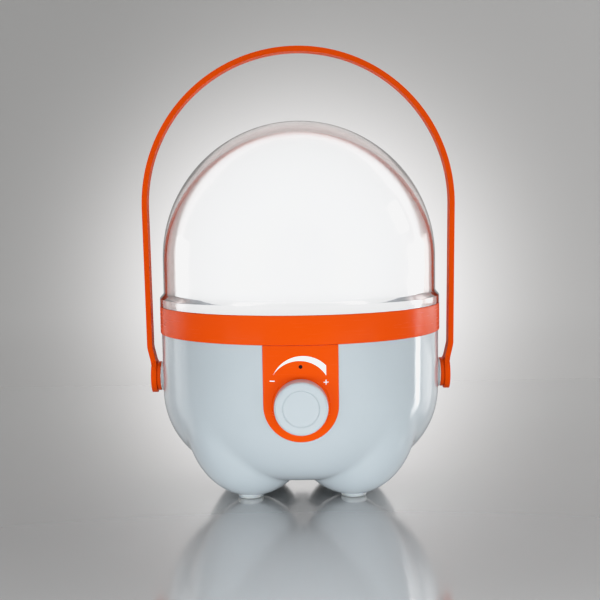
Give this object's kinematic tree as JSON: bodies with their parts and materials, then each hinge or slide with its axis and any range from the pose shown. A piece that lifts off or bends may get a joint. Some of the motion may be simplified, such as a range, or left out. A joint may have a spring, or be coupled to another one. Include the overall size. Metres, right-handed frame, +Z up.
{
  "type": "portable lantern",
  "caption": "Rechargeable dome lantern with a lobed bowl base, orange collar band, front dimmer knob and swinging strap handle.",
  "frame": {"origin": "on the lantern's own axis, on the surface that its four foot pads stand on", "axes": "+Z up along the lantern's axis, -Y towards the dimmer knob at the front, +X to the right seen from the front"},
  "size_m": [0.156, 0.1481, 0.2196],
  "materials": {
    "clear_plastic": "clear, polished",
    "opal_plastic": "opal, lit from inside",
    "seal_rubber": "translucent silicone",
    "orange_plastic": "moulded, gloss",
    "mark_white": "printed ink",
    "smoked_plastic": "smoked lens",
    "white_plastic": "moulded, high gloss",
    "pad_rubber": "soft translucent",
    "steel": "zinc plated",
    "brass": "turned",
    "brown_laminate": "phenolic laminate",
    "green_laminate": "solder mask",
    "nylon": "natural nylon",
    "aluminium_board": "white mask on aluminium",
    "led_emitter": "phosphor",
    "black_plastic": "fine texture",
    "cell_wrap": "shrink sleeve over steel",
    "ferrite": "ferrite",
    "red_insulation": "wire insulation",
    "yellow_insulation": "wire insulation",
    "black_insulation": "wire insulation"
  },
  "bodies": {
    "body": {"outer_dome": "clear_plastic", "diffuser_dome": "opal_plastic", "dome_seal": "seal_rubber", "collar_band": "orange_plastic", "control_panel": "orange_plastic", "panel_marks": "mark_white", "indicator_lens": "smoked_plastic", "lower_housing": "white_plastic", "foot_pads": "pad_rubber", "dimmer_case": "steel", "dimmer_track": "brown_laminate", "dimmer_bushing": "brass", "dimmer_nut": "steel", "dimmer_washer": "steel", "dimmer_terminals": "steel", "pivot_washers": "nylon", "deck": "white_plastic", "deck_screws": "steel", "led_board": "aluminium_board", "leds": "led_emitter", "led_board_screws": "steel", "battery_tray": "black_plastic", "battery_cells": "cell_wrap", "cell_tabs": "steel", "battery_clamp": "black_plastic", "tray_screws": "steel", "clamp_screws": "steel", "driver_board": "green_laminate", "driver_chips": "black_plastic", "driver_capacitors": "cell_wrap", "driver_inductor": "ferrite", "wire_connectors": "nylon", "board_screws": "steel", "jack_body": "black_plastic", "jack_pin": "steel", "jack_nut": "steel", "indicator_led": "smoked_plastic", "led_wires": "red_insulation", "dimmer_wires": "yellow_insulation", "battery_wires": "red_insulation", "jack_wires": "black_insulation", "indicator_wires": "black_insulation"},
    "carry_handle": {"handle": "orange_plastic", "handle_pivots": "orange_plastic", "pivot_retainers": "steel", "pivot_screws": "steel"},
    "knob": {"dimmer_knob": "white_plastic", "dimmer_shaft": "steel", "dimmer_wiper": "brass"}
  },
  "joints": [
    {"name": "handle_swing", "type": "hinge", "parent": "body", "child": "carry_handle", "pos_m": [0, 0, 0.0562], "axis": [1, 0, 0], "range_deg": [-108, 108]},
    {"name": "dimmer_turn", "type": "hinge", "parent": "body", "child": "knob", "pos_m": [0, -0.0701, 0.0521], "axis": [0, 1, 0], "range_deg": [-270, 0]}
  ]
}
